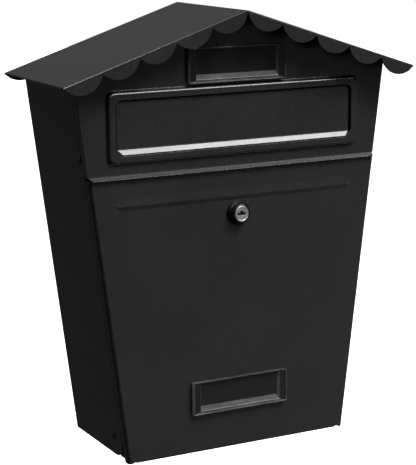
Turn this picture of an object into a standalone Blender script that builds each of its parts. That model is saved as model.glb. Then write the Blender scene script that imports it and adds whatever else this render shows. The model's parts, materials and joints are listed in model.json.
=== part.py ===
"""A wall mounted mailbox of folded sheet steel: tapered box, gabled roof, letter flap and locked door.

Run with: blender --background --python part.py
Metres, +Z up. The wall is the plane y = 0 and the front faces -Y. Heights are counted from the
door's bottom edge, and the frame's origin lies on the wall plane ORIGIN_HEIGHT above that edge.
"""

from math import atan, cos, hypot, pi, radians, sin, sqrt

import bmesh
import bpy
from mathutils import Matrix, Vector

PARTS = "wall_mounted_mailbox"
CUTTERS = "cutters"

# whole object
ORIGIN_HEIGHT = 0.200
SHEET = 0.0010
GAP = 0.0003
BASE_HALF_WIDTH = 0.1125
SIDE_TAPER = 0.1249
BEND_RADIUS = 0.003

# roof
ROOF_HALF_WIDTH = 0.175
RIDGE_HEIGHT = 0.4018
EAVE_HEIGHT = 0.34455
ROOF_FRONT = -0.1388
SCALLOPS = 5
SCALLOP_PITCH = 0.0363
SCALLOP_DROP = 0.0132
SCALLOP_STEPS = 8

# front
PANEL_FRONT = -0.1158
DOOR_FRONT = -0.1184
PANEL_FLANGE_END = -0.1086
SIDE_FRONT = -0.1101
SIDE_SEAM_DROP = 0.0020
DOOR_FLANGE_END = -0.1104
PANEL_BOTTOM = 0.2630
DOOR_TOP = 0.2602
LIP_EDGE = (-0.1218, 0.2605)
LIP_ROOT_INSET = 0.0008
LIP_END_TRIM = 0.0025
DOOR_SHELF_DEPTH = 0.009
DOOR_SHELF_HALF_WIDTH = 0.135
DOOR_FOOT_DEPTH = 0.006
DOOR_FOOT_HALF_WIDTH = 0.105

# raised surround of the letter slot
SURROUND_RISE = 0.0034
SURROUND_BASE = (0.1270, 0.2716, 0.3367)
SURROUND_FACE = (0.1250, 0.2740, 0.3346)
SLOT = (0.11875, 0.2800, 0.3285)
SURROUND_CORNER = 0.006
SLOT_CORNER = 0.0055
SLOT_CHAMFER = 0.0062

# letter flap
FLAP_SHEET = 0.0008
FLAP_FRONT = -0.1168
FLAP_HALF_WIDTH = 0.1173
FLAP_TOP = 0.3272
FLAP_ROOT = 0.2856
FLAP_EDGE = (-0.1195, 0.2810)
FLAP_END_TRIM = 0.0046
FLAP_AXIS = (-0.1135, 0.3245)
ROD_RADIUS = 0.0016
CURL_RADIUS = 0.0027
ROD_HALF_LENGTH = 0.1230
BRACKET_X = 0.1206
BRACKET_SHEET = 0.0012

# door pivot
PIVOT = (-0.0910, 0.0206)
SIDE_CORNER_RADIUS = 0.0191
PIN_RADIUS = 0.0020
PIN_HEAD_RADIUS = 0.00275
PIN_CLEARANCE = 0.00008
EAR_X = 0.1085
EAR_SHEET = 0.0015

# stiffening bead across the door
BEAD_HEIGHT = 0.23725
BEAD_HALF_LENGTH = 0.120
BEAD_HALF_WIDTH = 0.00525
BEAD_RISE = 0.0009
BEAD_RIDGE = (0.1165, -0.0019, -0.0010)

# lock, on the y axis through LOCK_HEIGHT
LOCK_HEIGHT = 0.2198
LOCK_FACE = -0.1264
COLLAR_RADIUS = 0.0124
COLLAR_FACE_RADIUS = 0.0099
PLUG_HEAD_RADIUS = 0.0084
BARREL_RADIUS = 0.0080
BARREL_END = -0.1082
ROTOR_RADIUS = 0.0059
STUB_RADIUS = 0.0038
THREAD_RADIUS = 0.0016
THREAD_DEPTH = 0.0080
KEYWAY = (0.0037, -0.0008, 0.0008)
KEYWAY_WARD = (0.0012, -0.0002, 0.0018)
KEYWAY_DEPTH = 0.0060
CAM_REAR = -0.1042
CAM_SHEET = 0.0018
CAM_REACH = 0.0500
CAM_HALF_WIDTH = 0.0068
NUT_ACROSS_FLATS = 0.021
NUT_THICKNESS = 0.003

# rail behind the top of the door, and its rivets
RAIL_FRONT = -0.1143
RAIL_REAR = -0.1073
RAIL_HEIGHT = 0.2648
RAIL_TOP = 0.2740
RAIL_SHELF_REACH = 0.125
TAB_REAR = -0.0980
TAB_TOP = 0.2870
RIVET = (-0.1045, 0.2780)
RIVET_RADIUS = 0.0016
RIVET_HEAD_RADIUS = 0.0034

# box
REAR_FLANGE = 0.011
TRAY_FLANGE = 0.009
TRAY_HEIGHT = 0.0018
TRAY_FRONT = -0.1080
TRAY_NOTCH = (0.0955, -0.0670)
GABLE_STEP = (0.3250, 0.3290, 0.0014)
SCREW_HOLES = (0.060, 0.0600, 0.2900)
SCREW_HOLE_RADIUS = 0.0035

# name plates: half width, height, thickness; the recess as half width, bottom bar, top bar, front and rear
PLATE_SIZE = (0.0486, 0.0310, 0.0040)
PLATE_RECESS_FRONT = (0.0412, 0.0032, 0.0014)
PLATE_RECESS_REAR = (0.0398, 0.0076, 0.0018)
PLATE_WINDOW_SHEET = 0.0010
PLATE_GAP = 0.0002
PLATE_BOTTOMS = {"door": 0.0366, "gable": 0.3384}

ROOF_ANGLE = atan((RIDGE_HEIGHT - EAVE_HEIGHT) / ROOF_HALF_WIDTH)
SLOPE_LENGTH = hypot(RIDGE_HEIGHT - EAVE_HEIGHT, ROOF_HALF_WIDTH)

BLACK_PAINT = ((0.022, 0.022, 0.024), 0.0, 0.32)
BLACK_PLASTIC = ((0.018, 0.018, 0.019), 0.0, 0.25)
CLEAR_PLASTIC = ((0.20, 0.20, 0.21), 0.0, 0.10)
NICKEL = ((0.55, 0.54, 0.52), 1.0, 0.30)
ZINC = ((0.42, 0.42, 0.43), 1.0, 0.45)


# ---------------------------------------------------------------- geometry

def at(x, y, height):
    return Vector((x, y, height - ORIGIN_HEIGHT))


def half_width(height):
    """Outer half width of the box, which widens upwards."""
    return BASE_HALF_WIDTH + SIDE_TAPER * height


def under_roof(x, clearance):
    """Height below the roof sheet at x, less a clearance."""
    return RIDGE_HEIGHT - abs(x) * sin(ROOF_ANGLE) / cos(ROOF_ANGLE) - (SHEET + clearance) / cos(ROOF_ANGLE)


def side_top(inset):
    """Height at which a plane inset from the box's side meets the roof's underside."""
    slope = sin(ROOF_ANGLE) / cos(ROOF_ANGLE)
    return (under_roof(0, GAP) - slope * (BASE_HALF_WIDTH - inset)) / (1 + slope * SIDE_TAPER)


def arc(centre, radius, start, end, steps):
    """Points of an arc, with its angles in degrees."""
    points = []
    for step in range(steps + 1):
        angle = radians(start + (end - start) * step / steps)
        points.append((centre[0] + radius * cos(angle), centre[1] + radius * sin(angle)))
    return points


def rounded_rectangle(half_length, low, high, radius, steps=4):
    corners = (
        ((half_length - radius, high - radius), 0),
        ((radius - half_length, high - radius), 90),
        ((radius - half_length, low + radius), 180),
        ((half_length - radius, low + radius), 270),
    )
    return [point for centre, start in corners for point in arc(centre, radius, start, start + 90, steps)]


def beyond(near, far, share):
    """The section reached by running on from one section past another."""
    return tuple(b + (b - a) * share for a, b in zip(near, far))


def scalloped_edge(side, y):
    """The lower edge of one fascia, from the ridge to the eave, as arcs cut off by the fold line."""
    first = (SLOPE_LENGTH - (SCALLOPS - 1) * SCALLOP_PITCH) / 2
    radius = (SCALLOP_DROP ** 2 + first ** 2) / (2 * SCALLOP_DROP)
    rise = radius - SCALLOP_DROP
    points = []
    for scallop in range(SCALLOPS):
        centre = first + scallop * SCALLOP_PITCH
        start = 0 if scallop == 0 else centre - SCALLOP_PITCH / 2
        end = SLOPE_LENGTH if scallop == SCALLOPS - 1 else centre + SCALLOP_PITCH / 2
        for step in range(SCALLOP_STEPS):
            along = start + (end - start) * step / SCALLOP_STEPS
            drop = sqrt(max(radius ** 2 - (along - centre) ** 2, rise ** 2)) - rise
            x = along * cos(ROOF_ANGLE) - drop * sin(ROOF_ANGLE)
            height = RIDGE_HEIGHT - along * sin(ROOF_ANGLE) - drop * cos(ROOF_ANGLE)
            points.append(at(side * x, y, height))
    return points


# ---------------------------------------------------------------- building blocks

def clear_scene():
    for obj in list(bpy.data.objects):
        bpy.data.objects.remove(obj, do_unlink=True)


def new_collection(name):
    collection = bpy.data.collections.new(name)
    bpy.context.scene.collection.children.link(collection)
    return collection


def finish(obj, look):
    """Gives the object its own Principled material: colour, metallic, roughness."""
    color, metallic, roughness = look
    material = bpy.data.materials.new(obj.name + "_finish")
    material.use_nodes = True
    shader = material.node_tree.nodes["Principled BSDF"]
    shader.inputs["Base Color"].default_value = (*color, 1)
    shader.inputs["Metallic"].default_value = metallic
    shader.inputs["Roughness"].default_value = roughness
    material.diffuse_color = (*color, 1)
    obj.data.materials.clear()
    obj.data.materials.append(material)
    return obj


def add_mesh(name, mesh):
    obj = bpy.data.objects.new(name, mesh)
    bpy.data.collections[PARTS].objects.link(obj)
    return obj


def bevel(obj, width, segments=1, weighted=False):
    modifier = obj.modifiers.new("Bevel", "BEVEL")
    modifier.width = width
    modifier.segments = segments
    modifier.limit_method = "WEIGHT" if weighted else "ANGLE"
    modifier.angle_limit = radians(50)


def folded_sheet(name, faces, outward, thickness=SHEET, bends=()):
    """An open surface of flat faces, thickened inwards. bends lists edges to round, with their radii."""
    shell = bmesh.new()
    corners = {}

    def corner(point):
        key = tuple(round(value, 6) for value in point)
        if key not in corners:
            corners[key] = shell.verts.new(point)
        return corners[key]

    made = [shell.faces.new([corner(point) for point in points]) for points in faces]
    bmesh.ops.recalc_face_normals(shell, faces=shell.faces)
    shell.normal_update()
    if made[0].normal.dot(Vector(outward)) < 0:
        bmesh.ops.reverse_faces(shell, faces=shell.faces)
    weights = shell.edges.layers.float.new("bevel_weight_edge")
    for start, end, radius in bends:
        edge = shell.edges.get((corner(start), corner(end)))
        edge[weights] = radius / BEND_RADIUS
    mesh = bpy.data.meshes.new(name)
    shell.to_mesh(mesh)
    shell.free()
    obj = add_mesh(name, mesh)
    if bends:
        bevel(obj, BEND_RADIUS, segments=3, weighted=True)
    solidify = obj.modifiers.new("Solidify", "SOLIDIFY")
    solidify.thickness = thickness
    solidify.offset = -1
    solidify.solidify_mode = "NON_MANIFOLD"
    solidify.nonmanifold_thickness_mode = "CONSTRAINTS"
    return obj


def flat_piece(name, outline, thickness, middle, facing):
    """A flat outline with a thickness. facing Y: outline in x and height. facing X: in y and height."""
    curve = bpy.data.curves.new(name, "CURVE")
    curve.dimensions = "2D"
    curve.fill_mode = "BOTH"
    curve.extrude = thickness / 2
    spline = curve.splines.new("POLY")
    spline.points.add(len(outline) - 1)
    for point, place in zip(spline.points, outline):
        point.co = (place[0], place[1] - ORIGIN_HEIGHT, 0, 1)
    spline.use_cyclic_u = True
    guide = bpy.data.objects.new(name + "_outline", curve)
    bpy.data.collections[PARTS].objects.link(guide)
    if facing == "Y":
        guide.matrix_world = Matrix.Translation((0, middle, 0)) @ Matrix.Rotation(pi / 2, 4, "X")
    else:
        turn = Matrix(((0, 0, 1), (1, 0, 0), (0, 1, 0))).to_4x4()
        guide.matrix_world = Matrix.Translation((middle, 0, 0)) @ turn
    return made_solid(guide, name)


def made_solid(guide, name):
    """The closed mesh of a curve object, which replaces the curve."""
    bpy.context.view_layer.update()
    mesh = bpy.data.meshes.new_from_object(guide.evaluated_get(bpy.context.evaluated_depsgraph_get()))
    mesh.name = name
    welded = bmesh.new()
    welded.from_mesh(mesh)
    bmesh.ops.remove_doubles(welded, verts=welded.verts, dist=1e-6)
    bmesh.ops.recalc_face_normals(welded, faces=welded.faces)
    welded.to_mesh(mesh)
    welded.free()
    obj = add_mesh(name, mesh)
    obj.matrix_world = guide.matrix_world
    bpy.data.objects.remove(guide, do_unlink=True)
    return obj


def turned(name, profile, axis, place, segments=32):
    """A turned piece. profile lists (radius, place along the axis), from one end of the axis to the other."""
    area = sum(a[0] * b[1] - b[0] * a[1] for a, b in zip(profile, profile[1:] + profile[:1]))
    if area > 0:
        profile = profile[::-1]
    mesh = bpy.data.meshes.new(name)
    edges = [(index, index + 1) for index in range(len(profile) - 1)]
    if min(radius for radius, along in profile) > 0:
        edges.append((len(profile) - 1, 0))
    mesh.from_pydata([(radius, 0, along) for radius, along in profile], edges, [])
    obj = add_mesh(name, mesh)
    screw = obj.modifiers.new("Screw", "SCREW")
    screw.steps = segments
    screw.render_steps = segments
    screw.use_merge_vertices = True
    screw.merge_threshold = 1e-5
    turn = Matrix.Rotation(-pi / 2, 4, "X") if axis == "Y" else Matrix.Rotation(pi / 2, 4, "Y")
    obj.matrix_world = Matrix.Translation(place) @ turn
    return obj


def box(name, low, high):
    bpy.ops.mesh.primitive_cube_add(size=1)
    obj = bpy.context.object
    obj.name = name
    obj.data.name = name
    size = [end - start for start, end in zip(low, high)]
    middle = [(end + start) / 2 for start, end in zip(low, high)]
    obj.data.transform(Matrix.Diagonal((*size, 1)))
    obj.location = at(*middle)
    for collection in obj.users_collection:
        collection.objects.unlink(obj)
    bpy.data.collections[PARTS].objects.link(obj)
    return obj


def combine(obj, other, operation):
    """A Boolean whose second shape moves to the cutters and follows the object."""
    modifier = obj.modifiers.new(other.name, "BOOLEAN")
    modifier.operation = operation
    modifier.object = other
    modifier.solver = "EXACT"
    bpy.data.collections[PARTS].objects.unlink(other)
    bpy.data.collections[CUTTERS].objects.link(other)
    other.hide_render = True
    other.display_type = "WIRE"
    hold(other, obj)
    return obj


def cut(obj, other):
    return combine(obj, other, "DIFFERENCE")


def join(obj, other):
    return combine(obj, other, "UNION")


def hold(child, parent):
    """Parents without moving the child."""
    bpy.context.view_layer.update()
    child.parent = parent
    child.matrix_parent_inverse = parent.matrix_world.inverted()


def pivot(name, place, parent=None):
    empty = bpy.data.objects.new(name, None)
    empty.empty_display_size = 0.02
    bpy.data.collections[PARTS].objects.link(empty)
    empty.location = place
    if parent:
        hold(empty, parent)
    return empty


def hole(obj, name, radius, axis, place, depth, segments=24):
    profile = [(0, depth), (radius, depth), (radius, -depth), (0, -depth)]
    return cut(obj, turned(name, profile, axis, place, segments))


# ---------------------------------------------------------------- roof and box

def make_roof():
    ridge = [at(0, ROOF_FRONT, RIDGE_HEIGHT), at(0, 0, RIDGE_HEIGHT)]
    faces = []
    for side in (1, -1):
        eave = [at(side * ROOF_HALF_WIDTH, ROOF_FRONT, EAVE_HEIGHT), at(side * ROOF_HALF_WIDTH, 0, EAVE_HEIGHT)]
        faces.append([ridge[0], ridge[1], eave[1], eave[0]])
        for end, y in enumerate((ROOF_FRONT, 0)):
            faces.append(scalloped_edge(side, y) + [eave[end]])
    return finish(folded_sheet("roof", faces, (0, 0, 1)), BLACK_PAINT)


def make_back_panel():
    step_low, step_high, step_in = GABLE_STEP
    low = TRAY_HEIGHT
    edge = [(half_width(low) - SHEET - GAP, 0, low), (half_width(step_low) - SHEET - GAP, 0, step_low)]
    upper_x = half_width(step_high) - SHEET - GAP
    top = side_top(SHEET + GAP) - GAP
    upper = [(upper_x, -step_in, step_high), (half_width(top) - SHEET - GAP, -step_in, top)]
    mirrored = lambda points: [(-x, y, height) for x, y, height in reversed(points)]
    gable = upper + [(0, -step_in, under_roof(0, 2 * GAP))] + mirrored(upper)
    step = [edge[1], upper[0]] + mirrored([edge[1], upper[0]])
    faces = [[at(*p) for p in points] for points in (edge + mirrored(edge), step, gable)]
    obj = folded_sheet("back_panel", faces, (0, 1, 0))
    x, low, high = SCREW_HOLES
    for index, (sign, height) in enumerate(((-1, low), (1, low), (-1, high), (1, high))):
        hole(obj, f"screw_hole_{index}", SCREW_HOLE_RADIUS, "Y", at(sign * x, 0, height), 3 * SHEET)
    return finish(obj, BLACK_PAINT)


def make_side_panel(name, side):
    pivot_y, pivot_height = PIVOT
    top = side_top(0)
    upper_front, rear = PANEL_FLANGE_END + GAP, -SHEET - GAP
    seam = PANEL_BOTTOM - SIDE_SEAM_DROP
    bottom = pivot_height - SIDE_CORNER_RADIUS
    flange_low = TRAY_HEIGHT + TRAY_FLANGE + 2 * GAP
    flange_high = GABLE_STEP[0] - 0.010
    corner = arc(PIVOT, SIDE_CORNER_RADIUS, 270, 180, 8)
    outline = [(rear, bottom)] + corner + [(SIDE_FRONT, seam), (upper_front, seam), (upper_front, top), (rear, top)]
    outline += [(rear, flange_high), (rear, flange_low)]
    panel = [at(side * half_width(height), y, height) for y, height in outline]
    fold = [at(side * half_width(height), rear, height) for height in (flange_low, flange_high)]
    inner = [at(side * (half_width(height) - REAR_FLANGE), rear, height) for height in (flange_high, flange_low)]
    obj = folded_sheet(name, [panel, fold + inner], (side, 0, 0))
    hole(obj, name + "_pin_hole", PIN_RADIUS + PIN_CLEARANCE, "X",
         at(side * half_width(pivot_height), pivot_y, pivot_height), 3 * SHEET)
    hole(obj, name + "_rivet_hole", RIVET_RADIUS + PIN_CLEARANCE, "X",
         at(side * half_width(RIVET[1]), RIVET[0], RIVET[1]), 3 * SHEET)
    return finish(obj, BLACK_PAINT)


def make_bottom_tray():
    notch_x, notch_y = TRAY_NOTCH
    inset = SHEET + GAP
    rear = -SHEET - GAP
    low = TRAY_HEIGHT
    edge = half_width(low) - inset
    high = low + TRAY_FLANGE
    high_edge = half_width(high) - inset
    relief = 0.004
    side_rear, side_front = rear - relief, notch_y
    floor = [(edge - relief, rear), (edge - 0.001, rear - relief / 2), (edge, side_rear), (edge, side_front),
             (notch_x, side_front), (notch_x, TRAY_FRONT)]
    floor = floor + [(-x, y) for x, y in reversed(floor)]
    faces = [[at(x, y, low) for x, y in floor]]
    faces.append([at(x, rear, height) for x, height in (
        (edge - relief, low), (edge - relief, high), (relief - edge, high), (relief - edge, low))])
    for side in (1, -1):
        faces.append([at(side * x, y, height) for x, y, height in (
            (edge, side_rear, low), (edge, side_front, low),
            (high_edge, side_front, high), (high_edge, side_rear, high))])
    return finish(folded_sheet("bottom_tray", faces, (0, 0, -1)), BLACK_PAINT)


# ---------------------------------------------------------------- upper front

def sloping_block(name, base, face, front, rear, corner):
    """A block with slanting walls: the base outline at the rear, the face outline at the front."""
    outline = rounded_rectangle(base[0], base[1], base[2], corner)
    obj = flat_piece(name, outline, rear - front, (rear + front) / 2, "Y")
    middle = (base[1] + base[2]) / 2 - ORIGIN_HEIGHT
    grow_x = face[0] / base[0]
    grow_z = (face[2] - face[1]) / (base[2] - base[1])
    shift = (face[1] + face[2] - base[1] - base[2]) / 2
    for vertex in obj.data.vertices:
        if vertex.co.z > 0:
            vertex.co.x *= grow_x
            vertex.co.y = middle + shift + (vertex.co.y - middle) * grow_z
    return obj


def slot_outline():
    """The slot's outline: round upper corners, and lower corners cut off beside the flap's lip."""
    half, low, high = SLOT
    inner, top = half - SLOT_CORNER, high - SLOT_CORNER
    upper = arc((inner, top), SLOT_CORNER, 0, 90, 4) + arc((-inner, top), SLOT_CORNER, 90, 180, 4)
    lower = [(half - SLOT_CHAMFER, low), (half, low + SLOT_CHAMFER)]
    return upper + [(-x, height) for x, height in reversed(lower)] + lower


def make_upper_front_panel():
    low = PANEL_BOTTOM
    top = side_top(0)
    flange_top = top - 0.0010
    edge = half_width(low)
    root = edge - LIP_ROOT_INSET
    tip = root - LIP_END_TRIM
    slope = sin(ROOF_ANGLE) / cos(ROOF_ANGLE)
    lip_y, lip_height = LIP_EDGE
    face = [(-edge, low), (-root, low), (root, low), (edge, low), (half_width(flange_top), flange_top)]
    face += [(half_width(top) - GAP, top), (0, top + slope * half_width(top)), (GAP - half_width(top), top)]
    face += [(-half_width(flange_top), flange_top)]
    faces = [[at(x, PANEL_FRONT, height) for x, height in face]]
    lip = [at(x, y, height) for x, y, height in (
        (-root, PANEL_FRONT, low), (root, PANEL_FRONT, low), (tip, lip_y, lip_height), (-tip, lip_y, lip_height))]
    faces.append(lip)
    bends = [(lip[0], lip[1], 0.0012)]
    for side in (1, -1):
        fold = [at(side * half_width(height), PANEL_FRONT, height) for height in (low, flange_top)]
        rear = [at(side * half_width(height), PANEL_FLANGE_END, height) for height in (flange_top, low)]
        faces.append(fold + rear)
        bends.append((fold[0], fold[1], BEND_RADIUS))
    obj = folded_sheet("upper_front_panel", faces, (0, -1, 0), bends=bends)

    face_y = PANEL_FRONT - SURROUND_RISE
    join(obj, sloping_block("surround", SURROUND_BASE, SURROUND_FACE, face_y, PANEL_FRONT + SHEET / 2,
                            SURROUND_CORNER))
    inner_base = (SURROUND_BASE[0] - SHEET, SURROUND_BASE[1] + SHEET, SURROUND_BASE[2] - SHEET)
    inner_face = (SURROUND_FACE[0] - SHEET, SURROUND_FACE[1] + SHEET, SURROUND_FACE[2] - SHEET)
    cut(obj, sloping_block("surround_hollow", inner_base, inner_face, face_y + SHEET, PANEL_FRONT + 3 * SHEET,
                           SURROUND_CORNER))
    cut(obj, flat_piece("slot", slot_outline(), 6 * SHEET, face_y, "Y"))
    return finish(obj, BLACK_PAINT)


def make_letter_flap():
    tip = FLAP_HALF_WIDTH - FLAP_END_TRIM
    lip_y, lip_height = FLAP_EDGE
    corner = 0.003
    face = [(-FLAP_HALF_WIDTH, FLAP_ROOT), (FLAP_HALF_WIDTH, FLAP_ROOT), (FLAP_HALF_WIDTH, FLAP_TOP - corner),
            (FLAP_HALF_WIDTH - corner, FLAP_TOP), (corner - FLAP_HALF_WIDTH, FLAP_TOP),
            (-FLAP_HALF_WIDTH, FLAP_TOP - corner)]
    faces = [[at(x, FLAP_FRONT, height) for x, height in face]]
    root = faces[0][:2]
    faces.append([root[0], root[1], at(tip, lip_y, lip_height), at(-tip, lip_y, lip_height)])
    obj = folded_sheet("letter_flap", faces, (0, -1, 0), FLAP_SHEET, [(root[0], root[1], 0.0010)])
    end = FLAP_HALF_WIDTH - 0.004
    bore = ROD_RADIUS + PIN_CLEARANCE
    curl = [(CURL_RADIUS, end), (CURL_RADIUS, -end), (bore, -end), (bore, end)]
    join(obj, turned("flap_curl", curl, "X", at(0, *FLAP_AXIS), 20))
    return finish(obj, BLACK_PAINT)


def make_flap_rod():
    end = ROD_HALF_LENGTH
    profile = [(0, end), (ROD_RADIUS, end), (ROD_RADIUS, -end), (0, -end)]
    return finish(turned("flap_rod", profile, "X", at(0, *FLAP_AXIS), 20), ZINC)


def make_flap_bracket(name, side):
    """A vertical plate that carries the rod, with a foot on the back of the panel."""
    y, height = FLAP_AXIS
    radius = 0.0042
    foot_bottom, top = height + 0.0036, height + 0.0135
    plate = arc((y, height), radius, 180, 360, 8) + [(y + radius, top), (y - 0.0010, top)]
    plate += [(y - 0.0010, foot_bottom + 0.006), (y - radius, foot_bottom)]
    obj = flat_piece(name, plate, BRACKET_SHEET, side * (BRACKET_X + BRACKET_SHEET / 2), "X")
    foot_front = PANEL_FRONT + SHEET + GAP
    reach = sorted((side * (BRACKET_X + 0.0003), side * (BRACKET_X + 0.0165)))
    join(obj, box(name + "_foot", (reach[0], foot_front, foot_bottom + 0.0062),
                  (reach[1], foot_front + BRACKET_SHEET, top - 0.0002)))
    hole(obj, name + "_hole", ROD_RADIUS + PIN_CLEARANCE, "X",
         at(side * (BRACKET_X + BRACKET_SHEET / 2), y, height), 0.003, 20)
    return finish(obj, ZINC)


# ---------------------------------------------------------------- door and lock

def bead_block(name, past, front):
    """The bead's shape: a stadium that slopes to a low ridge, run on past its foot by past."""
    foot = (BEAD_HALF_LENGTH, -BEAD_HALF_WIDTH, BEAD_HALF_WIDTH)
    foot = beyond(BEAD_RIDGE, foot, past / BEAD_RISE)
    lift = lambda section: (section[0], BEAD_HEIGHT + section[1], BEAD_HEIGHT + section[2])
    return sloping_block(name, lift(foot), lift(BEAD_RIDGE), front, front + BEAD_RISE + past,
                         (foot[2] - foot[1]) / 2)


def make_door():
    edge = half_width(0)
    faces = [[at(x, DOOR_FRONT, height) for x, height in (
        (-edge, 0), (-DOOR_FOOT_HALF_WIDTH, 0), (DOOR_FOOT_HALF_WIDTH, 0), (edge, 0),
        (half_width(DOOR_TOP), DOOR_TOP), (DOOR_SHELF_HALF_WIDTH, DOOR_TOP),
        (-DOOR_SHELF_HALF_WIDTH, DOOR_TOP), (-half_width(DOOR_TOP), DOOR_TOP))]]
    bends = []
    for height, reach, depth in ((0, DOOR_FOOT_HALF_WIDTH, DOOR_FOOT_DEPTH),
                                 (DOOR_TOP, DOOR_SHELF_HALF_WIDTH, DOOR_SHELF_DEPTH)):
        fold = [at(x, DOOR_FRONT, height) for x in (-reach, reach)]
        faces.append(fold + [at(x, DOOR_FRONT + depth, height) for x in (reach - 0.002, 0.002 - reach)])
        bends.append((fold[0], fold[1], 0.0015))
    for side in (1, -1):
        fold = [at(side * half_width(height), DOOR_FRONT, height) for height in (0, DOOR_TOP)]
        faces.append(fold + [at(side * half_width(height), DOOR_FLANGE_END, height) for height in (DOOR_TOP, 0)])
        bends.append((fold[0], fold[1], BEND_RADIUS))
    obj = folded_sheet("door", faces, (0, -1, 0), bends=bends)

    join(obj, bead_block("bead", SHEET / 2, DOOR_FRONT - BEAD_RISE))
    cut(obj, bead_block("bead_hollow", SHEET / 2, DOOR_FRONT - BEAD_RISE + SHEET))
    hole(obj, "lock_hole", BARREL_RADIUS + GAP, "Y", at(0, DOOR_FRONT, LOCK_HEIGHT), 3 * SHEET)
    return finish(obj, BLACK_PAINT)


def make_hinge_ear(name, side):
    """A plate on the inside of the door that reaches back to the pivot."""
    front = DOOR_FRONT + SHEET + GAP
    outline = [(front, 0.0010), (-0.0950, 0.0010)]
    outline += arc(PIVOT, 0.0085, -50, 110, 8) + [(-0.1060, 0.0400), (front, 0.0400)]
    obj = flat_piece(name, outline, EAR_SHEET, side * (EAR_X + EAR_SHEET / 2), "X")
    foot = sorted((side * (EAR_X + 0.0004), side * (EAR_X - 0.0120)))
    join(obj, box(name + "_foot", (foot[0], front + 0.00005, 0.0060), (foot[1], front + EAR_SHEET, 0.0340)))
    hole(obj, name + "_hole", PIN_RADIUS + PIN_CLEARANCE, "X", at(side * EAR_X, *PIVOT), 0.004)
    return finish(obj, BLACK_PAINT)


def make_hinge_pin(name, side):
    """A headed pin through the side panel and the door's ear, closed over inside."""
    head = half_width(PIVOT[1] + PIN_HEAD_RADIUS) + 0.0001
    inner = EAR_X - GAP
    profile = [(0, head + 0.0012), (0.0016, head + 0.0010), (PIN_HEAD_RADIUS, head + 0.0003),
               (PIN_HEAD_RADIUS, head), (PIN_RADIUS, head), (PIN_RADIUS, inner),
               (0.0034, inner), (0.0030, inner - 0.0010), (0, inner - 0.0012)]
    profile = [(radius, side * along) for radius, along in profile]
    return finish(turned(name, profile, "X", at(0, *PIVOT), 20), BLACK_PAINT)


def make_side_rivet(name, side):
    """A domed rivet through the side panel and the rail's tab."""
    head = half_width(RIVET[1] + RIVET_HEAD_RADIUS) + 0.0001
    inner = half_width(RIVET[1] - RIVET_HEAD_RADIUS) - 2 * SHEET - 4 * GAP
    profile = [(0, head + 0.0011), (0.0020, head + 0.0009), (RIVET_HEAD_RADIUS, head + 0.0002),
               (RIVET_HEAD_RADIUS, head), (RIVET_RADIUS, head), (RIVET_RADIUS, inner),
               (0.0026, inner), (0.0024, inner - 0.0009), (0, inner - 0.0011)]
    profile = [(radius, side * along) for radius, along in profile]
    return finish(turned(name, profile, "X", at(0, *RIVET), 20), BLACK_PAINT)


def make_cross_rail():
    """An angle behind the top of the door: the lock's cam turns up behind it."""
    inset = 2 * SHEET + 2 * GAP
    low_edge, top_edge, tab_edge = (half_width(h) - inset for h in (RAIL_HEIGHT, RAIL_TOP, TAB_TOP))
    reach = RAIL_SHELF_REACH
    upright = [(-low_edge, RAIL_HEIGHT), (-reach, RAIL_HEIGHT), (reach, RAIL_HEIGHT),
               (low_edge, RAIL_HEIGHT), (top_edge, RAIL_TOP), (-top_edge, RAIL_TOP)]
    faces = [[at(x, RAIL_REAR, height) for x, height in upright]]
    faces.append([at(x, y, RAIL_HEIGHT) for x, y in (
        (-reach, RAIL_REAR), (reach, RAIL_REAR),
        (reach - 0.002, RAIL_FRONT), (0.002 - reach, RAIL_FRONT))])
    for side in (1, -1):
        faces.append([at(side * x, y, height) for x, y, height in (
            (low_edge, RAIL_REAR, RAIL_HEIGHT), (low_edge, TAB_REAR, RAIL_HEIGHT),
            (tab_edge, TAB_REAR, TAB_TOP), (tab_edge, RAIL_REAR, TAB_TOP), (top_edge, RAIL_REAR, RAIL_TOP))])
    obj = folded_sheet("cross_rail", faces, (0, 1, 0))
    for side, name in ((1, "right"), (-1, "left")):
        place = at(side * half_width(RIVET[1]), *RIVET)
        hole(obj, f"rail_rivet_hole_{name}", RIVET_RADIUS + PIN_CLEARANCE, "X", place, 5 * SHEET)
    return finish(obj, BLACK_PAINT)


def make_lock_body():
    """The collar in front of the door and the barrel through it."""
    seat = LOCK_FACE + 0.0031
    bore = ROTOR_RADIUS + PIN_CLEARANCE
    recess = PLUG_HEAD_RADIUS + 0.0002
    collar_rear = DOOR_FRONT - 0.0001
    profile = [(recess, LOCK_FACE + 0.0002), (COLLAR_FACE_RADIUS - 0.0004, LOCK_FACE + 0.0002),
               (COLLAR_FACE_RADIUS, LOCK_FACE + 0.0007), (COLLAR_RADIUS - 0.0006, collar_rear - 0.0022),
               (COLLAR_RADIUS, collar_rear - 0.0014), (COLLAR_RADIUS, collar_rear), (BARREL_RADIUS, collar_rear),
               (BARREL_RADIUS, BARREL_END), (bore, BARREL_END), (bore, seat), (recess, seat)]
    return finish(turned("lock_body", profile, "Y", at(0, 0, LOCK_HEIGHT), 40), BLACK_PLASTIC)


def make_lock_nut():
    corners = arc((0, LOCK_HEIGHT), NUT_ACROSS_FLATS / 2 / cos(pi / 6), 0, 300, 5)
    front = DOOR_FRONT + SHEET + GAP
    obj = flat_piece("lock_nut", corners, NUT_THICKNESS, front + NUT_THICKNESS / 2, "Y")
    hole(obj, "lock_nut_bore", BARREL_RADIUS + 0.0002, "Y", at(0, front, LOCK_HEIGHT), 0.008, 40)
    return finish(obj, ZINC)


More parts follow.
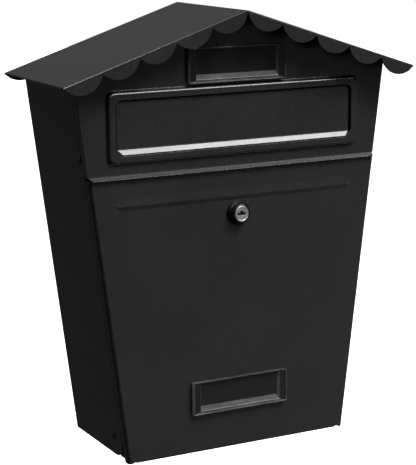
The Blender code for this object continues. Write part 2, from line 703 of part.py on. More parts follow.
def make_lock_plug():
    """The keyed plug: its face, its rotor in the barrel and the stub that carries the cam."""
    head_rear = LOCK_FACE + 0.0030
    shoulder = CAM_REAR - CAM_SHEET - GAP
    stub_end = CAM_REAR - 0.0001
    thread_end = shoulder - THREAD_DEPTH
    profile = [(0, LOCK_FACE), (PLUG_HEAD_RADIUS - 0.0007, LOCK_FACE), (PLUG_HEAD_RADIUS, LOCK_FACE + 0.0007),
               (PLUG_HEAD_RADIUS, head_rear), (ROTOR_RADIUS, head_rear), (ROTOR_RADIUS, shoulder),
               (STUB_RADIUS, shoulder), (STUB_RADIUS, stub_end), (THREAD_RADIUS, stub_end),
               (THREAD_RADIUS, thread_end), (0, thread_end)]
    obj = turned("lock_plug", profile, "Y", at(0, 0, LOCK_HEIGHT), 40)
    blocks = []
    for index, (half, low, high) in enumerate((KEYWAY, KEYWAY_WARD)):
        past = 0.001 + 0.0001 * index
        blocks.append(box(f"keyway_{index}", (-half, LOCK_FACE - past, LOCK_HEIGHT + low),
                          (half, LOCK_FACE + KEYWAY_DEPTH + past, LOCK_HEIGHT + high)))
    cut(obj, join(*blocks))
    return finish(obj, NICKEL)


def make_lock_cam():
    tip = 0.004
    outline = arc((0, LOCK_HEIGHT), CAM_HALF_WIDTH, 90, 270, 10)
    outline += arc((CAM_REACH - tip, LOCK_HEIGHT - CAM_HALF_WIDTH + tip), tip, 270, 360, 4)
    outline += arc((CAM_REACH - tip, LOCK_HEIGHT + CAM_HALF_WIDTH - tip), tip, 0, 90, 4)
    obj = flat_piece("lock_cam", outline, CAM_SHEET, CAM_REAR - CAM_SHEET / 2, "Y")
    hole(obj, "cam_hole", STUB_RADIUS + PIN_CLEARANCE, "Y", at(0, CAM_REAR, LOCK_HEIGHT), 0.004)
    return finish(obj, ZINC)


def make_cam_screw():
    start = CAM_REAR + 0.0001
    profile = [(0, start + 0.0022), (0.0028, start + 0.0016), (0.0044, start + 0.0005), (0.0044, start),
               (0.0014, start), (0.0014, CAM_REAR - 0.0070), (0, CAM_REAR - 0.0076)]
    return finish(turned("cam_screw", profile, "Y", at(0, 0, LOCK_HEIGHT), 20), ZINC)


# ---------------------------------------------------------------- name plates

def tapered_cutter(name, rear, front, bottom, top):
    """A block whose section goes from one rectangle at the rear to another at the front."""
    y_rear, y_front = rear[0], front[0]
    corners = bmesh.new()
    bmesh.ops.create_cube(corners, size=2)
    for corner in corners.verts:
        y, (half, low_bar, high_bar) = (y_rear, rear[1]) if corner.co.y > 0 else (y_front, front[1])
        height = top - high_bar if corner.co.z > 0 else bottom + low_bar
        corner.co = at(half if corner.co.x > 0 else -half, y, height)
    mesh = bpy.data.meshes.new(name)
    corners.to_mesh(mesh)
    corners.free()
    return add_mesh(name, mesh)


def make_plate_frame(name, bottom, back):
    """A moulded frame with a recess for the window: its lower wall is a wide slope that faces up."""
    half, height, thickness = PLATE_SIZE
    outline = rounded_rectangle(half, bottom, bottom + height, 0.0012, 3)
    rear = back - PLATE_GAP
    obj = flat_piece(name, outline, thickness, rear - thickness / 2, "Y")
    past = 0.25
    rear_section = (rear + past * thickness, beyond(PLATE_RECESS_FRONT, PLATE_RECESS_REAR, past))
    front_section = (rear - (1 + past) * thickness, beyond(PLATE_RECESS_REAR, PLATE_RECESS_FRONT, past))
    cut(obj, tapered_cutter(name + "_recess", rear_section, front_section, bottom, bottom + height))
    return finish(obj, BLACK_PLASTIC)


def make_plate_window(name, bottom, back):
    """The clear pane at the bottom of the recess."""
    height = PLATE_SIZE[1]
    half, low_bar, high_bar = PLATE_RECESS_REAR
    rear = back - PLATE_GAP
    low = (GAP - half, rear - PLATE_WINDOW_SHEET, bottom + low_bar + GAP)
    high = (half - GAP, rear, bottom + height - high_bar - GAP)
    return finish(box(name, low, high), CLEAR_PLASTIC)


def main():
    clear_scene()
    new_collection(PARTS)
    new_collection(CUTTERS).hide_render = True

    body = [make_roof(), make_back_panel(), make_bottom_tray(), make_upper_front_panel(), make_cross_rail(),
            make_flap_rod()]
    door = [make_door(), make_lock_body(), make_lock_nut()]
    plug = [make_lock_plug(), make_lock_cam(), make_cam_screw()]
    for side, word in ((-1, "left"), (1, "right")):
        body.append(make_side_panel("side_panel_" + word, side))
        body.append(make_flap_bracket("flap_bracket_" + word, side))
        body.append(make_hinge_pin("hinge_pin_" + word, side))
        body.append(make_side_rivet("side_rivet_" + word, side))
        door.append(make_hinge_ear("hinge_ear_" + word, side))
    body.append(make_plate_frame("gable_plate_frame", PLATE_BOTTOMS["gable"], PANEL_FRONT))
    body.append(make_plate_window("gable_plate_window", PLATE_BOTTOMS["gable"], PANEL_FRONT))
    door.append(make_plate_frame("door_plate_frame", PLATE_BOTTOMS["door"], DOOR_FRONT))
    door.append(make_plate_window("door_plate_window", PLATE_BOTTOMS["door"], DOOR_FRONT))

    wall_point = pivot("mailbox", (0, 0, 0))
    door_pivot = pivot("door_pivot", at(0, *PIVOT), wall_point)
    lock_pivot = pivot("lock_pivot", at(0, LOCK_FACE, LOCK_HEIGHT), door_pivot)
    flap_pivot = pivot("flap_pivot", at(0, *FLAP_AXIS), wall_point)
    for parent, children in ((wall_point, body), (door_pivot, door), (lock_pivot, plug),
                             (flap_pivot, [make_letter_flap()])):
        for child in children:
            hold(child, parent)


main()
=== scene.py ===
import json
import math

import bpy
from mathutils import Matrix, Vector


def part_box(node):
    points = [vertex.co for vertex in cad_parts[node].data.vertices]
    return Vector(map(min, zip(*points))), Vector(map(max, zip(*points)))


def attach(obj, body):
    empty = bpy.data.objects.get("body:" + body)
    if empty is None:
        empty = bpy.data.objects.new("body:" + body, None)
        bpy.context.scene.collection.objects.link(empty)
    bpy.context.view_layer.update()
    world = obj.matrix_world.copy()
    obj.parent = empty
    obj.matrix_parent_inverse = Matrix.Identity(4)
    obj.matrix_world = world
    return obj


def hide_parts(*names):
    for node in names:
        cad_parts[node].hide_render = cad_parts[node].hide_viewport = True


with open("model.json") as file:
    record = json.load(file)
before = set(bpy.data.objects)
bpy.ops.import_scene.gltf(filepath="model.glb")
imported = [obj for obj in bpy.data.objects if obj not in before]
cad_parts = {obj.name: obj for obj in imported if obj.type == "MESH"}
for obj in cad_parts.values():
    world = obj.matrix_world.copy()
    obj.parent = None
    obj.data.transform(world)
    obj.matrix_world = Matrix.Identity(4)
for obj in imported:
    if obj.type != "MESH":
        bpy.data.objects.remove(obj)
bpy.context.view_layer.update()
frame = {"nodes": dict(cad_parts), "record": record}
nodes = frame["nodes"]
bodyOf = {node: body for body, members in frame["record"]["behaviour"]["bodies"].items() for node in members}
slotOf = {part["node"]: part["material_slot"] for part in frame["record"]["subparts"]}
print("frame loaded:", len(nodes), "nodes")


# materials

class Wire:
    def __init__(self, finish, socket):
        self.finish, self.socket = finish, socket

    def maths(self, operation, first, second):
        return self.finish.node("ShaderNodeMath", {"operation": operation}, {0: first, 1: second})

    def __add__(self, other):
        return self.maths("ADD", self, other)

    def __sub__(self, other):
        return self.maths("SUBTRACT", self, other)

    def __rsub__(self, other):
        return self.maths("SUBTRACT", other, self)

    def __mul__(self, other):
        return self.maths("MULTIPLY", self, other)

    __radd__ = __add__
    __rmul__ = __mul__


class Finish:
    def __init__(self, name, owner=None):
        self.owner = owner or bpy.data.materials.new(name)
        self.owner.use_nodes = True
        self.tree = self.owner.node_tree
        self.tree.nodes.clear()

    def node(self, kind, settings=None, values=None, output=0):
        made = self.tree.nodes.new(kind)
        for key, value in (settings or {}).items():
            if key == "stops":
                ramp = made.color_ramp
                ramp.elements[0].position, ramp.elements[-1].position = value[0][0], value[-1][0]
                for place, colour in value[1:-1]:
                    ramp.elements.new(place)
                for element, (place, colour) in zip(ramp.elements, value):
                    element.color = (colour, colour, colour, 1)
            else:
                setattr(made, key, value)
        for key, value in (values or {}).items():
            if isinstance(value, Wire):
                self.tree.links.new(value.socket, made.inputs[key])
            else:
                made.inputs[key].default_value = value
        return Wire(self, made.outputs[output]) if made.outputs else made

    def place(self, scale=(1, 1, 1)):   # object coordinates, stretched
        where = self.node("ShaderNodeTexCoord", output="Object")
        return self.node("ShaderNodeMapping", {}, {"Vector": where, "Scale": scale})

    def noise(self, scale, detail=2.0, roughness=0.5, stretch=(1, 1, 1)):
        return self.node("ShaderNodeTexNoise", {}, {"Vector": self.place(stretch), "Scale": scale,
                                                    "Detail": detail, "Roughness": roughness})

    def ramp(self, value, stops):
        return self.node("ShaderNodeValToRGB", {"stops": stops}, {"Fac": value})

    def tone(self, value, dark, light):   # a colour between two
        return self.node("ShaderNodeMix", {"data_type": "RGBA"},
                         {0: value, 6: (*dark, 1), 7: (*light, 1)}, output=2)

    def bump(self, height, strength, depth):
        return self.node("ShaderNodeBump", {}, {"Height": height, "Strength": strength, "Distance": depth})

    def surface(self, values):
        shader = self.node("ShaderNodeBsdfPrincipled", {}, values)
        self.node("ShaderNodeOutputMaterial", {}, {"Surface": shader})
        return self.owner


paint = {"dark": (0.0140, 0.0140, 0.0146), "light": (0.0182, 0.0182, 0.0189), "roughness": 0.265,
         "grain": 620, "grainStrength": 0.06, "grainDepth": 0.0002}


def blackPaint():
    finish = Finish("blackPowderCoat")
    cloud = finish.noise(14, 4.0, 0.55)
    speck = finish.noise(260, 3.0, 0.6)
    peel = finish.noise(paint["grain"], 3.0, 0.55)
    wave = finish.noise(95, 2.0, 0.5)
    tone = cloud * 0.6 + speck * 0.4
    return finish.surface({
        "Base Color": finish.tone(finish.ramp(tone, [(0.35, 0), (0.65, 1)]), paint["dark"], paint["light"]),
        "Roughness": paint["roughness"] + (cloud - 0.5) * 0.10 + (speck - 0.5) * 0.10,
        "IOR": 1.5,
        "Normal": finish.bump(peel * 0.7 + wave * 0.3, paint["grainStrength"], paint["grainDepth"])})


def blackPlastic():
    finish = Finish("mouldedBlackPlastic")
    cloud = finish.noise(120, 3.0, 0.5)
    ripple = finish.noise(420, 2.0, 0.5)
    return finish.surface({
        "Base Color": finish.tone(cloud, (0.004, 0.004, 0.0045), (0.007, 0.007, 0.0075)),
        "Roughness": 0.12 + (cloud - 0.5) * 0.06,
        "Normal": finish.bump(ripple, 0.05, 0.0002)})


def plasticEdge():   # light caught in the edges of the clear cover
    finish = Finish("clearPlasticEdge")
    streak = finish.noise(420, 3.0, 0.6, (0.06, 1, 1))
    cloud = finish.noise(90, 3.0, 0.5)
    return finish.surface({
        "Base Color": finish.tone(finish.ramp(streak * 0.6 + cloud * 0.4, [(0.36, 0), (0.64, 1)]),
                                  (0.026, 0.026, 0.027), (0.100, 0.100, 0.102)),
        "Roughness": 0.20 + (streak - 0.5) * 0.20,
        "Normal": finish.bump(streak, 0.25, 0.0002)})


def clearPlastic():
    finish = Finish("clearPlasticPane")
    haze = finish.noise(160, 3.0, 0.55)
    wave = finish.noise(60, 2.0, 0.5, (1, 1, 0.4))
    return finish.surface({
        "Base Color": finish.tone(haze, (0.010, 0.010, 0.011), (0.020, 0.020, 0.021)),
        "Roughness": 0.07 + (haze - 0.5) * 0.06,
        "Alpha": 0.55,
        "Normal": finish.bump(wave, 0.06, 0.0006)})


def zincSteel():
    finish = Finish("zincPlatedSteel")
    cloud = finish.noise(90, 4.0, 0.6)
    scratch = finish.noise(500, 2.0, 0.5, (0.08, 1, 1))
    return finish.surface({
        "Base Color": finish.tone(cloud, (0.40, 0.40, 0.41), (0.58, 0.58, 0.57)),
        "Metallic": 1.0,
        "Roughness": 0.34 + (cloud - 0.5) * 0.20 + (scratch - 0.5) * 0.12,
        "Normal": finish.bump(scratch, 0.10, 0.0001)})


def nickel():
    finish = Finish("satinNickel")
    cloud = finish.noise(700, 4.0, 0.6)
    pit = finish.noise(2600, 2.0, 0.5)
    return finish.surface({
        "Base Color": finish.tone(finish.ramp(cloud, [(0.35, 0), (0.65, 1)]),
                                  (0.28, 0.276, 0.272), (0.60, 0.59, 0.58)),
        "Metallic": 1.0,
        "Roughness": 0.44 + (cloud - 0.5) * 0.16,
        "Normal": finish.bump(pit * 0.5 + cloud * 0.5, 0.25, 0.00008)})


def paintedLightWall():   # painted light: the moulded inner walls of the clear cover are pale grey, standing in for the light caught in them
    finish = Finish("clearWallPaintedLight")
    cloud = finish.noise(300, 3.0, 0.6, (1, 1, 0.3))
    return finish.surface({
        "Base Color": finish.tone(cloud, (0.22, 0.22, 0.222), (0.42, 0.42, 0.424)),
        "Roughness": 0.38 + (cloud - 0.5) * 0.2,
        "Normal": finish.bump(cloud, 0.15, 0.0002)})


def paintedLightLedge():   # painted light: the sloping ledge under the window, with lighter streaks along its length standing in for light streaked across it
    finish = Finish("clearLedgeStreakedPaintedLight")
    streak = finish.noise(520, 3.0, 0.6, (0.08, 1, 1))
    cloud = finish.noise(120, 3.0, 0.5)
    return finish.surface({
        "Base Color": finish.tone(finish.ramp(streak * 0.7 + cloud * 0.3, [(0.42, 0), (0.60, 1)]),
                                  (0.004, 0.004, 0.0042), (0.048, 0.048, 0.049)),
        "Roughness": 0.72 + (streak - 0.5) * 0.2,
        "Normal": finish.bump(streak, 0.3, 0.0002)})


finishes = {"black_paint": blackPaint(), "black_plastic": blackPlastic(), "clear_plastic": clearPlastic(),
            "zinc_steel": zincSteel(), "nickel": nickel()}
edgeFinish, wallPaintedLight, ledgePaintedLight = plasticEdge(), paintedLightWall(), paintedLightLedge()
print("materials made")


# shared steps

weld = {"doubles": 0.000005, "flat": 0.6}   # metres apart, and degrees that still count as flat


def deselect():
    if bpy.context.object and bpy.context.object.mode != "OBJECT":
        bpy.ops.object.mode_set(mode="OBJECT")
    bpy.ops.object.select_all(action="DESELECT")


def choose(piece):
    deselect()
    piece.select_set(True)
    bpy.context.view_layer.objects.active = piece


def smooth(piece, angle=35, crease=None):
    choose(piece)
    bpy.ops.object.shade_smooth_by_angle(angle=math.radians(angle))
    if crease:
        bpy.ops.object.mode_set(mode="EDIT")
        bpy.ops.mesh.select_mode(type="EDGE")
        bpy.ops.mesh.select_all(action="DESELECT")
        pick(piece, crease)
        bpy.ops.mesh.mark_sharp()
        bpy.ops.object.mode_set(mode="OBJECT")
    weigh = piece.modifiers.new("weigh", "WEIGHTED_NORMAL")
    weigh.keep_sharp = True
    bpy.ops.object.modifier_apply(modifier=weigh.name)


def roundEdges(piece, width, segments=2, angle=30):
    choose(piece)
    edge = piece.modifiers.new("edge", "BEVEL")
    edge.width, edge.segments = width, segments
    edge.limit_method, edge.angle_limit = "ANGLE", math.radians(angle)
    edge.use_clamp_overlap = False
    bpy.ops.object.modifier_apply(modifier=edge.name)


def settle(piece, node):   # the piece stands for its node, and moves with its body
    piece.data.materials.clear()
    piece.data.materials.append(finishes[slotOf[node]])
    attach(piece, bodyOf[node])
    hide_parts(node)


def pick(piece, test):   # selects the edges whose two ends pass
    bpy.ops.object.mode_set(mode="OBJECT")
    points = piece.data.vertices
    for edge in piece.data.edges:
        edge.select = all(test(points[end].co) for end in edge.vertices)
    bpy.ops.object.mode_set(mode="EDIT")


# a copy of a node with welded faces, folds of its own radius and rounded edges
def refined(node, name, width, folds=(), crease=None):
    piece = bpy.data.objects.new(name, nodes[node].data.copy())
    bpy.context.scene.collection.objects.link(piece)
    choose(piece)
    bpy.ops.object.mode_set(mode="EDIT")
    bpy.ops.mesh.select_all(action="SELECT")
    bpy.ops.mesh.remove_doubles(threshold=weld["doubles"])
    bpy.ops.mesh.dissolve_limited(angle_limit=math.radians(weld["flat"]))
    for radius, test in folds:
        bpy.ops.mesh.select_mode(type="EDGE")
        bpy.ops.mesh.select_all(action="DESELECT")
        pick(piece, test)
        bpy.ops.mesh.bevel(offset=radius, segments=4, affect="EDGES")
    bpy.ops.object.mode_set(mode="OBJECT")
    roundEdges(piece, width)
    smooth(piece, crease=crease)
    settle(piece, node)


# folded sheets, plates and small parts: the piece's name and the rounding of its edges

edges = {
    "letter_flap": ("letterFlap", 0.00025),
    "side_panel_left": ("leftSide", 0.0003), "side_panel_right": ("rightSide", 0.0003),
    "back_panel": ("backPanel", 0.0003), "bottom_tray": ("bottomTray", 0.0003),
    "cross_rail": ("crossRail", 0.0003), "hinge_ear_left": ("leftEar", 0.0003),
    "hinge_ear_right": ("rightEar", 0.0003), "side_rivet_left": ("leftRivet", 0.0002),
    "side_rivet_right": ("rightRivet", 0.0002), "flap_rod": ("flapRod", 0.0002),
    "flap_bracket_left": ("leftBracket", 0.0003), "flap_bracket_right": ("rightBracket", 0.0003),
    "hinge_pin_left": ("leftPin", 0.0002), "hinge_pin_right": ("rightPin", 0.0002),
    "lock_nut": ("lockNut", 0.0003), "lock_cam": ("lockCam", 0.0003), "cam_screw": ("camScrew", 0.0002),
    "gable_plate_window": ("gablePlateWindow", 0.0002), "door_plate_window": ("doorPlateWindow", 0.0002)}

for node, (name, width) in edges.items():
    refined(node, name, width)
print("pieces refined:", len(edges))


# roof and upper panel, whose folds catch the light

roof = {"fold": 0.0016, "edge": 0.0003}
panel = {"fold": 0.0015, "edge": 0.0003, "rise": 0.0034, "slotHalf": 0.1205, "slotLow": 0.0795, "slotHigh": 0.1290}
near = 0.00002   # a corner this close to a fold's line is on it
plateGap = 0.0002   # between a name plate and the sheet behind it

low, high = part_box("roof")
ridge, front, rear, side = high.z, low.y, high.y, high.x
eave = max(point.co.z for point in nodes["roof"].data.vertices if abs(point.co.x) > side - 0.0001)
slope = (ridge - eave) / side


def onRoofFold(point):
    onSlope = abs(ridge - slope * abs(point.x) - point.z) < 0.00003
    return onSlope and (abs(point.y - front) < near or abs(point.y - rear) < near)


refined("roof", "gabledRoof", roof["edge"], folds=[(roof["fold"], onRoofFold)])

low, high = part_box("gable_plate_frame")
faceLine = high.y + plateGap - panel["rise"]


def onSurround(point):   # the raised face's outline, but not the slot's
    inSlot = abs(point.x) <= panel["slotHalf"] and panel["slotLow"] < point.z < panel["slotHigh"]
    return abs(point.y - faceLine) < near and not inSlot


refined("upper_front_panel", "upperFrontPanel", panel["edge"], folds=[(panel["fold"], onSurround)])
print("roof and upper panel refined")


# door, with a low bead pressed across it

bead = {"height": 0.03725, "half": 0.006, "reach": 0.121, "edge": 0.0003}
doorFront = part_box("door_plate_frame")[1].y + plateGap


def onBead(point):
    return (abs(point.z - bead["height"]) < bead["half"] and abs(point.x) < bead["reach"]
            and point.y < doorFront + 0.00005)


refined("door", "frontDoor", bead["edge"], crease=onBead)
print("door refined")


# name plates: a clear cover with a thin rim, dark bands at its ends and a sloping ledge under its window

plate = {"corner": 0.0012, "rim": 0.0009, "rimDepth": 0.0006, "window": (0.0412, 0.0032, 0.0014),
         "pane": (0.0398, 0.0076, 0.0018), "edge": 0.00022, "seam": 0.0003, "flush": 0.0001}


def fitFace(piece, low, high, half, bottom, top, y):   # moves the selected face to a size and place
    bpy.ops.object.mode_set(mode="OBJECT")
    chosen = [point.co for point in piece.data.vertices if point.select]
    wide = max(point.x for point in chosen)
    lowest, highest = min(point.z for point in chosen), max(point.z for point in chosen)
    bpy.ops.object.mode_set(mode="EDIT")
    middle, target = (lowest + highest) / 2, (low.z + bottom + high.z - top) / 2
    bpy.ops.transform.resize(value=(half / wide, 1, (high.z - top - low.z - bottom) / (highest - lowest)),
                             center_override=(0, 0, middle))
    bpy.ops.object.mode_set(mode="OBJECT")
    depth = next(point.co.y for point in piece.data.vertices if point.select)
    bpy.ops.object.mode_set(mode="EDIT")
    bpy.ops.transform.translate(value=(0, y - depth, target - middle))


def makePlate(node, name):
    low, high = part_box(node)
    deselect()
    bpy.ops.mesh.primitive_cube_add(size=1, location=(low + high) / 2, scale=high - low)
    piece = bpy.context.object
    piece.name = name
    bpy.ops.object.transform_apply(location=True, rotation=True, scale=True)
    bpy.ops.object.mode_set(mode="EDIT")
    bpy.ops.mesh.select_mode(type="EDGE")
    bpy.ops.mesh.select_all(action="DESELECT")
    bpy.ops.object.mode_set(mode="OBJECT")
    for edge in piece.data.edges:   # the four corners, which run from front to back
        first, second = (piece.data.vertices[end].co for end in edge.vertices)
        edge.select = abs(first.y - second.y) > 0.001
    bpy.ops.object.mode_set(mode="EDIT")
    bpy.ops.mesh.bevel(offset=plate["corner"], segments=4, affect="EDGES")
    bpy.ops.mesh.select_mode(type="FACE")
    bpy.ops.mesh.select_all(action="DESELECT")
    bpy.ops.object.mode_set(mode="OBJECT")
    for face in piece.data.polygons:
        face.select = face.normal.y < -0.9
    bpy.ops.object.mode_set(mode="EDIT")
    bpy.ops.mesh.inset(thickness=plate["rim"])   # the rim
    bpy.ops.mesh.extrude_region_move(TRANSFORM_OT_translate={"value": (0, plate["rimDepth"], 0)})
    bpy.ops.mesh.inset(thickness=0.0001)   # the window's upper outline
    fitFace(piece, low, high, *plate["window"], low.y + plate["rimDepth"])
    bpy.ops.mesh.extrude_region_move(TRANSFORM_OT_translate={"value": (0, 0.001, 0)})
    fitFace(piece, low, high, *plate["pane"], high.y)
    bpy.ops.mesh.delete(type="FACE")
    bpy.ops.mesh.select_all(action="DESELECT")
    bpy.ops.object.mode_set(mode="OBJECT")
    for face in piece.data.polygons:
        face.select = face.normal.y > 0.9
    bpy.ops.object.mode_set(mode="EDIT")
    bpy.ops.mesh.delete(type="FACE")
    bpy.ops.mesh.select_mode(type="EDGE")
    bpy.ops.mesh.select_all(action="SELECT")
    bpy.ops.mesh.select_non_manifold(extend=False)
    bpy.ops.mesh.bridge_edge_loops()
    bpy.ops.mesh.select_all(action="SELECT")
    bpy.ops.mesh.normals_make_consistent(inside=False)
    bpy.ops.object.mode_set(mode="OBJECT")
    roundEdges(piece, plate["edge"], 2, 25)
    smooth(piece)
    settle(piece, node)
    piece.data.materials.append(edgeFinish)
    piece.data.materials.append(wallPaintedLight)
    piece.data.materials.append(ledgePaintedLight)
    bandLine = low.y + plate["rimDepth"]
    for face in piece.data.polygons:   # everything but the dark bands at the ends takes the edge's painted light, and the side walls and the ledge take their own painted light
        middle = face.center
        across = abs(middle.x) - plate["window"][0]
        band = abs(middle.y - bandLine) < plate["flush"] and across > -plate["seam"]
        inside = across < plate["seam"] and middle.y > bandLine + plate["flush"]
        ledge = inside and face.normal.z > 0.3
        wall = (inside or middle.y > bandLine) and abs(face.normal.x) > 0.7
        face.material_index = 0 if band else 3 if ledge else 2 if wall else 1
    return piece


makePlate("gable_plate_frame", "gablePlateFrame")
makePlate("door_plate_frame", "doorPlateFrame")
print("name plates made")


# lock: a collar with a rounded foot, and a satin plug set a little into it

# each ring is a radius and a depth in front of the door's face; a slot is its half width, bottom and top
lock = {"steps": 64, "seat": 0.0001,
        "collar": [(0.0109, 0.0), (0.0113, 0.0005), (0.0114, 0.0011), (0.0113, 0.0018), (0.0110, 0.0025),
                   (0.0105, 0.0031), (0.0099, 0.0036), (0.0095, 0.0044), (0.0092, 0.0058), (0.0088, 0.0069),
                   (0.0084, 0.0075), (0.0080, 0.0077), (0.0077, 0.0074), (0.0074, 0.0066)],
        "barrel": [(0.0074, 0.0048), (0.00598, 0.0048), (0.00598, -0.0102), (0.0080, -0.0102), (0.0080, 0.0)],
        "plug": [(0.0056, 0.0070), (0.0063, 0.0075), (0.0068, 0.0074), (0.0071, 0.0069), (0.0071, 0.0051),
                 (0.0059, 0.0051), (0.0059, -0.0120), (0.0038, -0.0120), (0.0038, -0.0141)],
        "keyway": (0.0039, -0.0012, 0.0011), "ward": (0.0016, 0.0006, 0.0025), "keyDepth": 0.0045,
        "paintedShadeHalf": (0.0045, 0.0032), "edge": 0.00016, "crease": 40}
low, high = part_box("lock_plug")
lockX, lockZ = (low.x + high.x) / 2, (low.z + high.z) / 2
wallLine = doorFront - lock["seat"]


def ringed(name, profile, closed):   # rings drawn out one after another, as on a lathe
    deselect()
    radius, depth = profile[0]
    bpy.ops.mesh.primitive_circle_add(vertices=lock["steps"], radius=radius, rotation=(math.pi / 2, 0, 0),
                                      location=(lockX, wallLine - depth, lockZ), fill_type="NOTHING")
    piece = bpy.context.object
    piece.name = name
    bpy.ops.object.transform_apply(location=True, rotation=True, scale=True)
    bpy.ops.object.mode_set(mode="EDIT")
    bpy.ops.mesh.select_mode(type="EDGE")
    bpy.ops.mesh.select_all(action="SELECT")
    if not closed:
        bpy.ops.mesh.edge_face_add()
        bpy.ops.mesh.select_all(action="SELECT")
    for (before, start), (after, end) in zip(profile, profile[1:]):
        bpy.ops.mesh.extrude_edges_move(TRANSFORM_OT_translate={"value": (0, start - end, 0)})
        grow = after / before
        bpy.ops.transform.resize(value=(grow, 1, grow), center_override=(lockX, wallLine - end, lockZ))
    if not closed:
        bpy.ops.mesh.edge_face_add()
    bpy.ops.mesh.select_all(action="SELECT")
    bpy.ops.mesh.remove_doubles(threshold=weld["doubles"])
    bpy.ops.mesh.normals_make_consistent(inside=False)
    bpy.ops.object.mode_set(mode="OBJECT")
    return piece


def cutKeyway(piece, half, low, high, past):
    deselect()
    front = wallLine - lock["plug"][1][1]
    middle = (lockX, front + lock["keyDepth"] / 2 - past, lockZ + (low + high) / 2)
    bpy.ops.mesh.primitive_cube_add(size=1, location=middle, scale=(2 * half, lock["keyDepth"] + past, high - low))
    cutter = bpy.context.object
    bpy.ops.object.transform_apply(location=True, rotation=True, scale=True)
    choose(piece)
    cut = piece.modifiers.new("cut", "BOOLEAN")
    cut.object, cut.operation, cut.solver = cutter, "DIFFERENCE", "EXACT"
    bpy.ops.object.modifier_apply(modifier=cut.name)
    bpy.data.objects.remove(cutter, do_unlink=True)


collar = ringed("lockCollar", lock["collar"] + lock["barrel"] + lock["collar"][:1], True)
smooth(collar, lock["crease"])
settle(collar, "lock_body")

plug = ringed("lockPlug", lock["plug"], False)
cutKeyway(plug, *lock["keyway"], 0.0020)
cutKeyway(plug, *lock["ward"], 0.0021)
roundEdges(plug, lock["edge"], 2, lock["crease"])
smooth(plug, lock["crease"])
settle(plug, "lock_plug")
plug.data.materials.append(finishes["black_plastic"])
for face in plug.data.polygons:   # painted shade: the keyway's inner faces take black plastic, which stands in for the shade inside the keyway
    middle = face.center
    deep = wallLine - lock["plug"][0][1] + 0.0001 < middle.y < wallLine - 0.001
    if deep and abs(middle.x) < lock["paintedShadeHalf"][0] and abs(middle.z - lockZ) < lock["paintedShadeHalf"][1]:
        face.material_index = 1
print("lock made")


# stage, lights and camera

stage = {"floor": -0.52, "size": 14, "colour": (0.86, 0.86, 0.86)}

deselect()
bpy.ops.mesh.primitive_plane_add(size=stage["size"], location=(0, 0, stage["floor"]))
floor = bpy.context.object
floor.name = "floor"
bpy.ops.object.transform_apply(location=True, rotation=True, scale=True)
floorFinish = Finish("paleFloor")
floor.data.materials.append(floorFinish.surface({"Base Color": (*stage["colour"], 1), "Roughness": 0.9,
                                                 "Emission Color": (1, 1, 1, 1), "Emission Strength": 0.6}))
floor.visible_glossy = False
floor.visible_diffuse = False
floor.visible_shadow = False

# how strong each part of the room is, and where each one starts and ends along an axis
sky = {"base": 0.05, "front": 0.42, "back": 0.14, "low": 0.10, "high": 1.4, "dim": 0.92,
       "ahead": (-0.2, 0.8), "right": (-0.1, 1.0), "under": (0.02, 0.30), "ground": (-0.75, -0.33),
       "corner": (-0.2, 0.3), "behind": (0.2, 0.9), "rightBehind": (-0.15, 0.25), "lowBehind": (-0.25, 0.2),
       "horizon": (0.0, 0.5), "ceiling": (0.5, 0.95)}


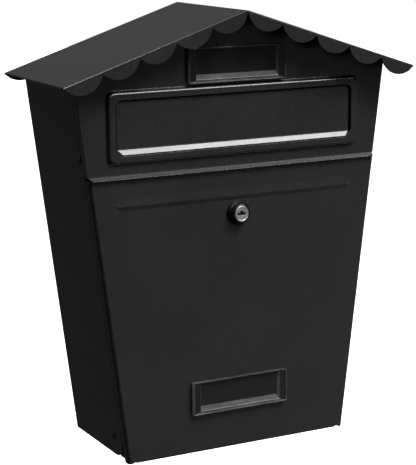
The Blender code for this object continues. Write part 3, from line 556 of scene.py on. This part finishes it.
def makeSky():
    world = bpy.data.worlds.new("studio")
    bpy.context.scene.world = world
    finish = Finish("studio", world)
    way = finish.node("ShaderNodeTexCoord", output="Generated")
    apart = finish.tree.nodes.new("ShaderNodeSeparateXYZ")
    finish.tree.links.new(way.socket, apart.inputs[0])
    x, y, z = (Wire(finish, apart.outputs[axis]) for axis in "XYZ")

    def step(value, part):
        return finish.node("ShaderNodeMapRange", {"interpolation_type": "SMOOTHSTEP"},
                           {"Value": value, "From Min": sky[part][0], "From Max": sky[part][1]})

    height = (step(z * -1, "under") * 0.9 + 0.12) * step(z, "ground")
    front = step(y * -1, "ahead") * step(x, "right") * height
    dim = step(y * -1, "corner") * step(x * -1, "corner")   # the room's dark side, in front and left
    back = step(y, "behind") * step(x, "rightBehind") * step(z * -1, "lowBehind")
    glow = ((front * sky["front"] + sky["base"]) * (1 - dim * sky["dim"]) + back * sky["back"]
            + step(z, "horizon") * sky["low"] + step(z, "ceiling") * sky["high"])
    lit = finish.node("ShaderNodeBackground", {}, {"Color": (1, 1, 1, 1), "Strength": glow})
    plain = finish.node("ShaderNodeBackground", {}, {"Color": (1, 1, 1, 1), "Strength": 1.0})
    seen = finish.node("ShaderNodeLightPath", output="Is Camera Ray")
    mixed = finish.node("ShaderNodeMixShader", {}, {0: seen, 1: lit, 2: plain})
    finish.node("ShaderNodeOutputWorld", {}, {"Surface": mixed})


makeSky()

aim = Vector((0, -0.1, 0.05))
lamps = {
    "shine": {"from": (0.30, -0.69, 0.656), "away": 3.0, "size": (2.75, 0.90), "watts": 165.0, "soft": False},
    "key": {"from": (0.35, -0.50, 0.80), "away": 8.0, "size": (3.6, 2.9), "watts": 885.0, "soft": True},
}
for name, lamp in lamps.items():
    data = bpy.data.lights.new(name, "AREA")
    data.shape, data.size, data.size_y, data.energy = "RECTANGLE", lamp["size"][0], lamp["size"][1], lamp["watts"]
    light = bpy.data.objects.new(name, data)
    bpy.context.scene.collection.objects.link(light)
    towards = Vector(lamp["from"]).normalized()
    light.location = aim + towards * lamp["away"]
    light.rotation_euler = towards.to_track_quat("Z", "Y").to_euler()
    light.visible_camera = False
    light.visible_diffuse, light.visible_glossy = lamp["soft"], not lamp["soft"]

view = {"place": (-0.6800, -1.3644, 0.2991), "turn": 27.58, "tilt": -11.96, "lean": -0.47, "lens": 124.40,
        "shift": (-0.0032, 0.0073)}

data = bpy.data.cameras.new("camera")
data.lens, data.shift_x, data.shift_y = view["lens"], view["shift"][0], view["shift"][1]
camera = bpy.data.objects.new("camera", data)
bpy.context.scene.collection.objects.link(camera)
turn, tilt, lean = (math.radians(view[key]) for key in ("turn", "tilt", "lean"))
camera.matrix_world = (Matrix.Translation(view["place"]) @ Matrix.Rotation(-turn, 4, "Z")
                       @ Matrix.Rotation(math.pi / 2 + tilt, 4, "X") @ Matrix.Rotation(lean, 4, "Z"))
bpy.context.scene.camera = camera
bpy.context.scene.view_settings.view_transform = "Standard"
print("stage, lights and camera ready")
